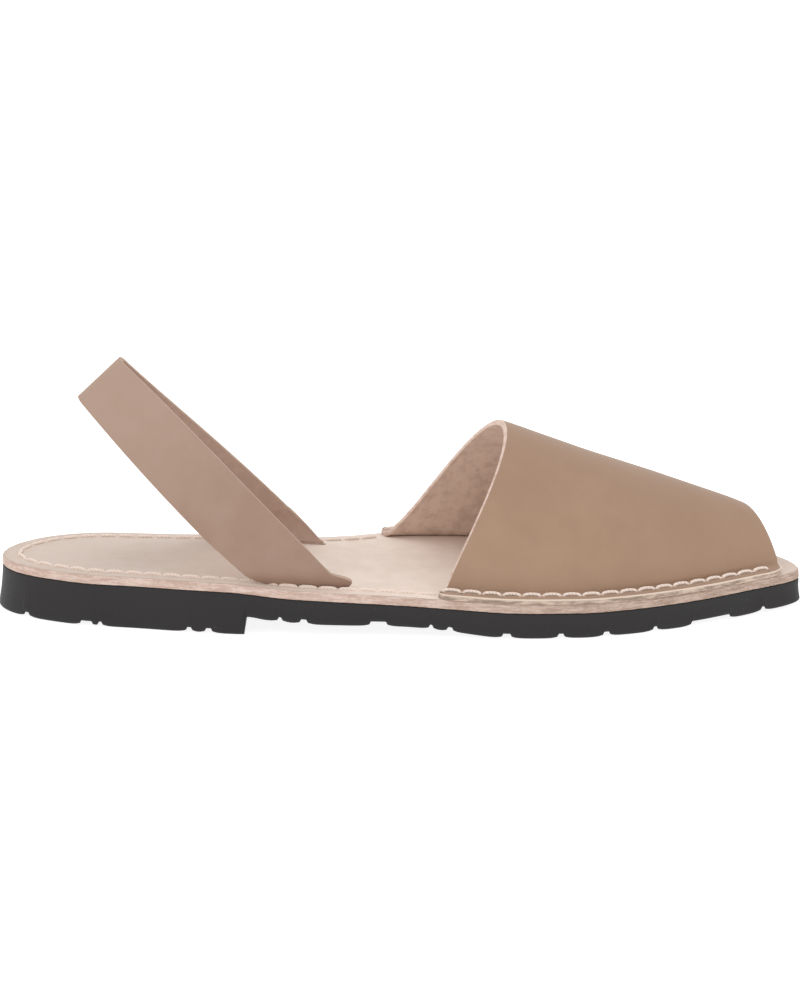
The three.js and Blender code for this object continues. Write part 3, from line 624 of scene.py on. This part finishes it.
# %% Make the strap
TAB_DEPTHS = (2.4, 1.2, 0.0)  # the end that stands in the slit


def make_strap():
    """Stations run from one slit over the heel to the other slit; straight lines go across."""
    legs = np.linspace(0, 1, 121)[1:] ** 1.3
    back = np.linspace(0, np.pi / 2, 46)[1:]
    halves = []
    for side in (LATERAL, MEDIAL):
        share = np.concatenate([legs, np.ones(len(back))])
        turn = np.concatenate([np.zeros(len(legs)), back])
        rear, front, _, foot_y = strap_foot(side)
        lines = []
        for sign, x in ((-1, rear), (1, front)):
            tab = [[x, foot_y, footbed_top(np.array(x)) - depth] for depth in TAB_DEPTHS]
            lines.append(np.concatenate([np.array(tab, float), strap_edge(side, sign, share, turn)]))
        halves.append(np.stack(lines, 1))
    stations = np.concatenate([halves[0], halves[1][-2::-1]])
    across = np.linspace(0, 1, 14)[None, :, None]
    return lerp(stations[:, :1], stations[:, 1:], across)


strap_grid = make_strap()
face = strap_grid + grid_normal(strap_grid) * STRAP_THICKNESS / 2
run = np.repeat(run_length(strap_grid[:, 7])[:, None], strap_grid.shape[1], 1)
points, faces, attributes = thick_sheet(face, -STRAP_THICKNESS, {"strap_run": run / run.max()})
strap = make_piece("heel_strap_leather", points, faces, "strap_leather", attributes)
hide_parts("heel_strap")

# %% [markdown]
# ## The stitching
# A sole stitcher lays a thick waxed thread in long stitches that dive into needle holes. Each
# stitch is a short tube along a small arch. All stitches of a row are worked out in one array and
# joined in one mesh, so hundreds of them cost no more than one.


# %% Sew a row
THREAD_RADIUS, THREAD_DIVE = 0.68, 0.75
PLIES, TWIST, PLY_RIDGE = 3, 9 * np.pi, 0.06  # strands, turn along one stitch, height of a strand


def sew(name, holes, surface_up, inward, lift, bow):
    """Between two holes the thread goes straight in plan, bowed inwards by a sine; its height is
    the sine's square root times the lift, and it dives at both ends."""
    share = np.linspace(0, 1, 15)
    start, end = holes[:-1, None], holes[1:, None]
    line = lerp(start, end, lerp(0.05, 0.95, share)[None, :, None])
    hump = np.sin(np.pi * share)
    line = line + inward[:, None] * (bow * hump)[None, :, None]
    line[..., 2] += surface_up + lift * np.sqrt(hump) - THREAD_DIVE * (1 - hump) ** 6
    along = np.gradient(line, axis=1)
    along /= np.linalg.norm(along, axis=-1, keepdims=True)
    across = np.cross(along, [0.0, 0.0, 1.0])
    across /= np.linalg.norm(across, axis=-1, keepdims=True)
    up = np.cross(across, along)
    angle = np.linspace(0, 2 * np.pi, 10, endpoint=False)
    # The thread is thinner at its ends, and its plies twist round it.
    thick = THREAD_RADIUS * (0.8 + 0.2 * np.sqrt(hump))[None, :, None, None]
    strands = np.cos(PLIES * angle[None, :] + TWIST * share[:, None])
    ply = 1 + PLY_RIDGE * strands[None, ..., None]
    ring = np.cos(angle)[:, None] * across[:, :, None] + np.sin(angle)[:, None] * up[:, :, None]
    tube = line[:, :, None] + ring * thick * ply
    count, stations, sides = tube.shape[:3]
    index = np.arange(stations * sides).reshape(stations, sides)
    body = grid_faces(index, closed_columns=True)
    half = sides // 2
    # Each end is closed by a ladder of four-sided faces across the ring.
    rung = np.arange(half - 1)
    cap = np.stack([rung, rung + 1, sides - 2 - rung, sides - 1 - rung], -1)
    one = np.concatenate([body, cap, (cap + (stations - 1) * sides)[:, ::-1]])
    faces = (one[None] + (np.arange(count) * stations * sides)[:, None, None]).reshape(-1, 4)
    run = np.broadcast_to(share[None, :, None], (count, stations, sides))
    turn = np.broadcast_to(angle[None, None, :] / (2 * np.pi), (count, stations, sides))
    attributes = {"thread_run": run, "thread_turn": turn}
    return make_piece(name, tube.reshape(-1, 3), faces, "footbed_leather", attributes, angle=80)


def spread(line, pitch, offset=0.0):
    """Points a pitch apart along a line, from an offset on."""
    run = run_length(line)
    at = np.arange(offset, run[-1], pitch)
    return np.stack([np.interp(at, run, line[:, k]) for k in range(3)], -1)


# %% Thread along the vamp
FIRST_HOLE = 0.4  # from the flange's end to the first needle hole
rows = []
for side, name in ((LATERAL, "vamp_thread_lateral"), (MEDIAL, "vamp_thread_medial")):
    line = flange(np.linspace(0, 1, 400)[:, None], side, np.array([[VAMP_ROW]]))[:, 0]
    holes = spread(line, STITCH_PITCH, FIRST_HOLE)
    at = turn_at((holes[1:, 0] + holes[:-1, 0]) / 2, side, VAMP_ROW)
    inward = np.concatenate([-outward(at, side), np.zeros((len(at), 1))], 1)
    rows.append(sew(name, holes, 0.25, inward, 0.08, 0.9))


# %% Thread round the bare heel and across the bare toe
def bed_path(side, keep):
    """The stitch line on the footbed's top, on one side, where keep says yes to its x."""
    plan = inset(np.linspace(0, np.pi, 1500), side, np.full(1500, BED_ROW))
    plan = plan[keep(plan[:, 0])]
    return np.concatenate([plan, footbed_top(plan[:, :1])], 1)


def sew_bed(name, line, offset, focus, straight_after):
    """Stitches bow towards a focus, and straight sideways once x is past a limit."""
    holes = spread(line, STITCH_PITCH, offset)
    toward = np.array(focus) - holes[:-1, :2]
    toward[:, 0] = np.where(holes[:-1, 0] > straight_after, 0, toward[:, 0])
    toward = toward / np.linalg.norm(toward, axis=1, keepdims=True)
    rows.append(sew(name, holes, 0.0, np.pad(toward, ((0, 0), (0, 1))), 0.1, 0.2))


heel_paths = [bed_path(LATERAL, lambda x: x < THROAT_LATERAL - 2),
              bed_path(MEDIAL, lambda x: x < THROAT_MEDIAL - 2)]
toe_paths = [bed_path(LATERAL, lambda x: x > OPENING_LATERAL + 1),
             bed_path(MEDIAL, lambda x: x > OPENING_MEDIAL + 1)]
sew_bed("footbed_thread", np.concatenate([heel_paths[0][::-1], heel_paths[1][1:]]), 1.0, (60, 0), 40)
sew_bed("toe_thread", np.concatenate([toe_paths[0], toe_paths[1][-2::-1]]), 0.5, (235, 2), SOLE_LENGTH)
print("stitches are", STITCH_PITCH, "mm long in", len(rows), "rows")

# %% [markdown]
# ## Shader maths in plain expressions
# A material is a tree of nodes, and clicking it together hides the arithmetic. A small class
# stands for one socket; adding or multiplying it makes the Math node. Everything else comes from
# one method that makes a node, sets it and plugs it in.


# %% A socket that can be added and multiplied
class Wire:
    """The output of one node."""

    def __init__(self, paint, socket):
        self.paint, self.socket = paint, socket

    def maths(self, operation, *values):
        return self.paint.node("ShaderNodeMath", {"operation": operation}, dict(enumerate(values)))

    def __add__(self, other):
        return self.maths("ADD", self, other)

    def __radd__(self, other):
        return self.maths("ADD", other, self)

    def __sub__(self, other):
        return self.maths("SUBTRACT", self, other)

    def __rsub__(self, other):
        return self.maths("SUBTRACT", other, self)

    def __mul__(self, other):
        return self.maths("MULTIPLY", self, other)

    def __rmul__(self, other):
        return self.maths("MULTIPLY", other, self)

    def __pow__(self, other):
        return self.maths("POWER", self, other)


# %% A material that hands out nodes
class Paint:
    """One material with a Principled shader."""

    def __init__(self, name, **fixed):
        self.material = bpy.data.materials.new(name)
        self.material.use_nodes = True
        self.tree = self.material.node_tree
        self.shader = self.tree.nodes["Principled BSDF"]
        for socket, value in fixed.items():
            self.shader.inputs[socket.replace("_", " ")].default_value = value
        self.place = self.node("ShaderNodeTexCoord", output="Object")

    def node(self, kind, settings=None, inputs=None, output=0):
        made = self.tree.nodes.new(kind)
        for key, value in (settings or {}).items():
            setattr(made, key, value)
        for key, value in (inputs or {}).items():
            if isinstance(value, Wire):
                self.tree.links.new(value.socket, made.inputs[key])
            else:
                made.inputs[key].default_value = value
        return Wire(self, made.outputs[output])

    def mix(self, below, above, share):
        """One colour laid over another, by a share."""
        return self.node("ShaderNodeMix", {"data_type": "RGBA"}, {0: share, 6: below, 7: above}, 2)

    def step(self, value, low, high):
        """0 below low, 1 above high, smooth between."""
        values = {"Value": value, "From Min": low, "From Max": high}
        return self.node("ShaderNodeMapRange", {"interpolation_type": "SMOOTHSTEP"}, values)

    def stretched(self, x, y, z):
        """The place, squeezed differently along each axis."""
        return self.node("ShaderNodeMapping", inputs={"Vector": self.place, "Scale": (x, y, z)})

    def noise(self, scale, detail=3.0, roughness=0.55, place=None):
        """Soft clouds, 0 to 1; the scale is in waves per metre."""
        values = {"Vector": place or self.place, "Scale": scale, "Detail": detail,
                  "Roughness": roughness}
        return self.node("ShaderNodeTexNoise", inputs=values, output="Fac")

    def cells(self, scale, feature="F1"):
        """The distance to the nearest of many scattered points."""
        values = {"Vector": self.place, "Scale": scale}
        return self.node("ShaderNodeTexVoronoi", {"feature": feature}, values, "Distance")

    def along(self):
        """X of the place: metres from the frame's middle towards the toe."""
        return self.node("ShaderNodeSeparateXYZ", inputs={"Vector": self.place}, output="X")

    def data(self, name):
        """An attribute that the piece carries on its points."""
        return self.node("ShaderNodeAttribute", {"attribute_name": name}, output="Fac")

    def finish(self, colour, roughness, height, distance):
        """Plugs the three things that change over a surface into the shader."""
        values = {"Height": height, "Distance": distance}
        bump = self.node("ShaderNodeBump", inputs=values, output="Normal")
        self.tree.links.new(colour.socket, self.shader.inputs["Base Color"])
        self.tree.links.new(roughness.socket, self.shader.inputs["Roughness"])
        self.tree.links.new(bump.socket, self.shader.inputs["Normal"])
        print("finish:", self.material.name, "with", len(self.tree.nodes), "nodes")
        return self.material


def colour(red, green, blue):
    """A colour as the eye reads it, 0 to 255, made linear for the shader."""
    part = np.array([red, green, blue]) / 255
    linear = np.where(part <= 0.04045, part / 12.92, ((part + 0.055) / 1.055) ** 2.4)
    return (*linear.tolist(), 1.0)


# %% [markdown]
# ## Rubber
# Moulded rubber is nearly black and matt, with a fine skin from the mould. Soft clouds of tone
# and rare grey specks of dust, scattered at random, break up the black.


# %% Finish of the outsole
BUMP = 0.00012  # metres from the lowest to the highest point of a finish


def rubber():
    """Near black in soft clouds, with rare grey specks where two patterns meet."""
    paint = Paint("sole_rubber_black", Specular_IOR_Level=0.35)
    fine = paint.noise(1500, 2.0)
    cloudy = paint.noise(55, 4.0)
    specks = paint.step(paint.cells(420), 0.16, 0.06) * paint.step(paint.noise(90, 2.0), 0.56, 0.66)
    base = paint.mix(colour(25, 22, 24), colour(35, 32, 34), cloudy)
    base = paint.mix(base, colour(96, 94, 93), specks * 0.4)
    rough = 0.5 + cloudy * 0.16 + specks * 0.1
    height = fine * 0.5 + paint.noise(300, 3.0) * 0.6 + specks * 0.5
    return paint.finish(base, rough, height, BUMP)


outsole.data.materials.append(rubber())

# %% [markdown]
# ## Leather
# All three leathers share their build: a fine grain of pores, slow clouds of colour from the
# tanning, a pale fibrous cut edge and a dull flesh side. One function makes vamp and strap, which
# are cut from the same hide, and a second one makes the smoother, undyed footbed.


# %% Finish of the upper leathers
def upper_leather(name, face, light, flesh, pale_flesh, edge_colour, sewn):
    """The depth attribute is 0 on the grain side and 1 on the flesh side; between lies the cut."""
    paint = Paint(name, Specular_IOR_Level=0.4, Sheen_Weight=0.12, Sheen_Roughness=0.5)
    depth = paint.data("depth")
    cut = paint.step(depth, 0.02, 0.06) * paint.step(depth, 0.98, 0.94)
    inside = paint.step(depth, 0.95, 0.99)
    clouds, mottle = paint.noise(28, 3.0), paint.noise(150, 4.0, 0.6)
    pores, grain = paint.cells(1500), paint.cells(620, "SMOOTH_F1")
    skin = paint.mix(face, light, paint.step(clouds * 0.7 + mottle * 0.3, 0.38, 0.66))
    skin = paint.mix(skin, colour(110, 84, 66), paint.step(pores, 0.22, 0.05) * 0.16)
    nap = paint.noise(300, 5.0, 0.7)
    back = paint.mix(flesh, pale_flesh, paint.step(nap * 0.6 + mottle * 0.4, 0.42, 0.66))
    # The cut edge keeps the dye at the grain side, and shows dark and pale fibres below it.
    fibres = paint.noise(500, 5.0, 0.7, paint.stretched(0.35, 0.35, 1.6))
    streaks = paint.mix(colour(194, 173, 156), colour(136, 117, 102), paint.step(fibres, 0.36, 0.6))
    raw = paint.mix(edge_colour, streaks, paint.step(depth, 0.2, 0.4) * (1.0 if sewn else 0.25))
    if sewn:
        # Away from the flange the cut is the rim of the throat, which is paler; the grain side
        # turns darker and warmer towards the toe.
        rim = paint.mix(colour(212, 188, 174), colour(192, 164, 148), paint.step(fibres, 0.42, 0.66))
        raw = paint.mix(raw, rim, paint.step(paint.data("from_edge"), 3.0, 8.0))
        skin = paint.mix(skin, colour(138, 106, 80), paint.step(paint.along(), 0.02, 0.12) * 0.35)
    else:
        # Painted light: the strap is paler towards the top, where it rounds the heel, and darker at
        # its feet: 1 at the middle of its run, 0 at the ends.
        ends = paint.data("strap_run") * 2 - 1
        top_light = 1 - ends.maths("ABSOLUTE", ends)
        skin = paint.mix(skin, colour(180, 155, 140), paint.step(top_light, 0.15, 0.95) * 0.45)
    base = paint.mix(paint.mix(skin, back, inside), raw, cut)
    height = grain * 0.5 + mottle * 0.35 + paint.step(pores, 0.0, 0.2) * 0.25
    height = height + inside * nap * 1.2 + cut * fibres * 1.5
    rough = 0.52 + clouds * 0.1 + inside * 0.3 + cut * 0.3
    if sewn:
        holes = needle_holes(paint)
        # The dark spots at the needle holes are painted shade, with a shallow dent in the bump.
        base = paint.mix(base, colour(84, 62, 48), holes * (1 - cut))
        height = height - holes * 4
    return paint.finish(base, rough, height, 0.00010)


def needle_holes(paint):
    """A dark spot at each whole number along the row, painted shade in the needle hole: the
    distance to it is the root of the two squared distances, along and across."""
    run = paint.data("stitch_run")
    along = (run.maths("FRACT", run + 0.5 - FIRST_HOLE / STITCH_PITCH) - 0.5) * STITCH_PITCH
    across = paint.data("row_distance")
    far = (along * along + across * across) ** 0.5
    return paint.step(far, 0.65, 0.3)


# The vamp's flesh-side colours are lighter than the leather's own: painted light that lifts the shade
# inside the vamp.
vamp.data.materials.append(upper_leather(
    "vamp_leather_taupe", colour(151, 121, 98), colour(158, 128, 105), colour(224, 200, 184),
    colour(206, 180, 165), colour(212, 193, 177), True))
strap.data.materials.append(upper_leather(
    "strap_leather_taupe", colour(144, 115, 97), colour(152, 124, 108), colour(172, 144, 129),
    colour(180, 152, 137), colour(176, 150, 132), False))


# %% Finish of the footbed
def footbed_finish():
    """Pale and smooth on top; the cut edge shows long fibres that lie along the sheet. Colours
    slide along the sole: a greyer heel, a pale waist and a darker toe. The waist's paleness is
    partly the leather's own tone and partly painted light that lifts the vamp's shade near it."""
    paint = Paint("footbed_leather_natural", Specular_IOR_Level=0.4)
    along, cut = paint.along(), paint.data("cut_edge")
    clouds, mottle, pores = paint.noise(24, 3.0), paint.noise(180, 4.0, 0.6), paint.cells(1700)
    spots = paint.step(clouds * 0.6 + mottle * 0.4, 0.4, 0.62)
    heel = paint.mix(colour(194, 176, 162), colour(201, 184, 172), spots)
    # The paler waist is partly the leather's own tone and partly painted light against the vamp's shade.
    waist = paint.mix(colour(220, 202, 189), colour(229, 213, 201), spots)
    top = paint.mix(heel, waist, paint.step(along, -0.11, 0.02))
    top = paint.mix(top, colour(184, 158, 142), paint.step(pores, 0.2, 0.05) * 0.15)
    top = paint.mix(top, colour(190, 170, 156), paint.step(along, 0.095, 0.13) * 0.7)
    layers = paint.noise(260, 5.0, 0.65, paint.stretched(0.5, 0.5, 4.0))
    fibres = paint.noise(1100, 4.0, 0.7, paint.stretched(0.6, 0.6, 2.0))
    strands = paint.step(layers * 0.6 + fibres * 0.4, 0.4, 0.62)
    rear = paint.mix(colour(184, 156, 141), colour(212, 191, 179), strands)
    fore = paint.mix(colour(152, 128, 113), colour(190, 168, 154), strands)
    raw = paint.mix(rear, fore, paint.step(along, -0.04, 0.10))
    height = mottle * 0.4 + paint.step(pores, 0.0, 0.2) * 0.3 + cut * (layers * 2.0 + fibres * 2.0)
    return paint.finish(paint.mix(top, raw, cut), 0.5 + clouds * 0.12 + cut * 0.25, height, BUMP)


footbed.data.materials.append(footbed_finish())


# %% [markdown]
# ## Thread
# Waxed thread is three plies twisted together. The twist is a wave that runs both along the
# thread and around it, so one sine of the two together draws slanting plies.


# %% Finish of the thread
def thread_finish():
    """Paler on the plies than between them, by half of one plus the sine of the twist; the
    darker grooves between the plies are painted shade.
    """
    paint = Paint("stitch_thread_cream", Specular_IOR_Level=0.3, Sheen_Weight=0.15)
    twist = paint.data("thread_run") * TWIST + paint.data("thread_turn") * (2 * np.pi * PLIES)
    ply = twist.maths("SINE", twist) * 0.5 + 0.5
    fluff = paint.noise(2500, 3.0)
    # The darker colour between the plies is painted shade, the paler crests painted highlight.
    base = paint.mix(colour(214, 190, 175), colour(243, 228, 217), ply * 0.5 + fluff * 0.6)
    return paint.finish(base, 0.6 + fluff * 0.2, ply + fluff * 0.3, BUMP)


thread = thread_finish()
for row in rows:
    row.data.materials.append(thread)

# %% [markdown]
# ## The studio
# A pale floor that runs out of sight, an even white sky and three large soft lamps keep shadows
# faint, as on a product table. The camera stands low, square to the sandal's side.


# %% Floor and sky
bpy.ops.mesh.primitive_plane_add(size=80, location=(0, 0, -0.0002))
floor = bpy.context.object
floor.name = "studio_floor"
white = Paint("studio_floor_white", Roughness=0.8, Base_Color=(0.45, 0.45, 0.45, 1),
              Emission_Color=(1, 1, 1, 1), Emission_Strength=0.88)
floor.data.materials.append(white.material)

world = bpy.data.worlds.new("studio_sky")
world.use_nodes = True
world.node_tree.nodes["Background"].inputs["Color"].default_value = (1, 1, 1, 1)
world.node_tree.nodes["Background"].inputs["Strength"].default_value = 1.0
bpy.context.scene.world = world
print("floor and sky are white")


# %% Lamps
def softbox(name, place, target, size, power):
    """A square area lamp that looks at a point."""
    lamp = bpy.data.lights.new(name, "AREA")
    lamp.shape, lamp.size, lamp.energy = "SQUARE", size, power
    made = bpy.data.objects.new(name, lamp)
    made.location = place
    made.rotation_euler = (Vector(target) - Vector(place)).to_track_quat("-Z", "Y").to_euler()
    bpy.context.scene.collection.objects.link(made)
    print(name, "looks at", target, "with", power, "watts")


softbox("lamp_above", (-0.1, 0.25, 1.3), (0, 0, 0), 0.9, 3)
softbox("lamp_front_left", (-0.9, -1.1, 0.9), (0, 0, 0.03), 0.8, 1.5)
softbox("lamp_right", (1.1, -0.5, 0.7), (0, 0, 0.03), 0.7, 1)
view = bpy.context.scene.view_settings
view.view_transform, view.look = "Standard", "None"

# %% The camera
CAMERA_RISE, CAMERA_DISTANCE = np.radians(15), 1.1
lens = bpy.data.cameras.new("camera")
lens.sensor_width, lens.lens, lens.shift_y = 36.0, 121.6, 0.0639
camera = bpy.data.objects.new("camera", lens)
target = (np.array([132.3, -26.0, 20.0]) + SHIFT) / 1000
back = np.array([0, -np.cos(CAMERA_RISE), np.sin(CAMERA_RISE)])
camera.location = target + CAMERA_DISTANCE * back
camera.rotation_euler = (np.pi / 2 - CAMERA_RISE, 0, 0)
bpy.context.scene.collection.objects.link(camera)
bpy.context.scene.camera = camera
print("camera at", np.round(camera.location, 3))
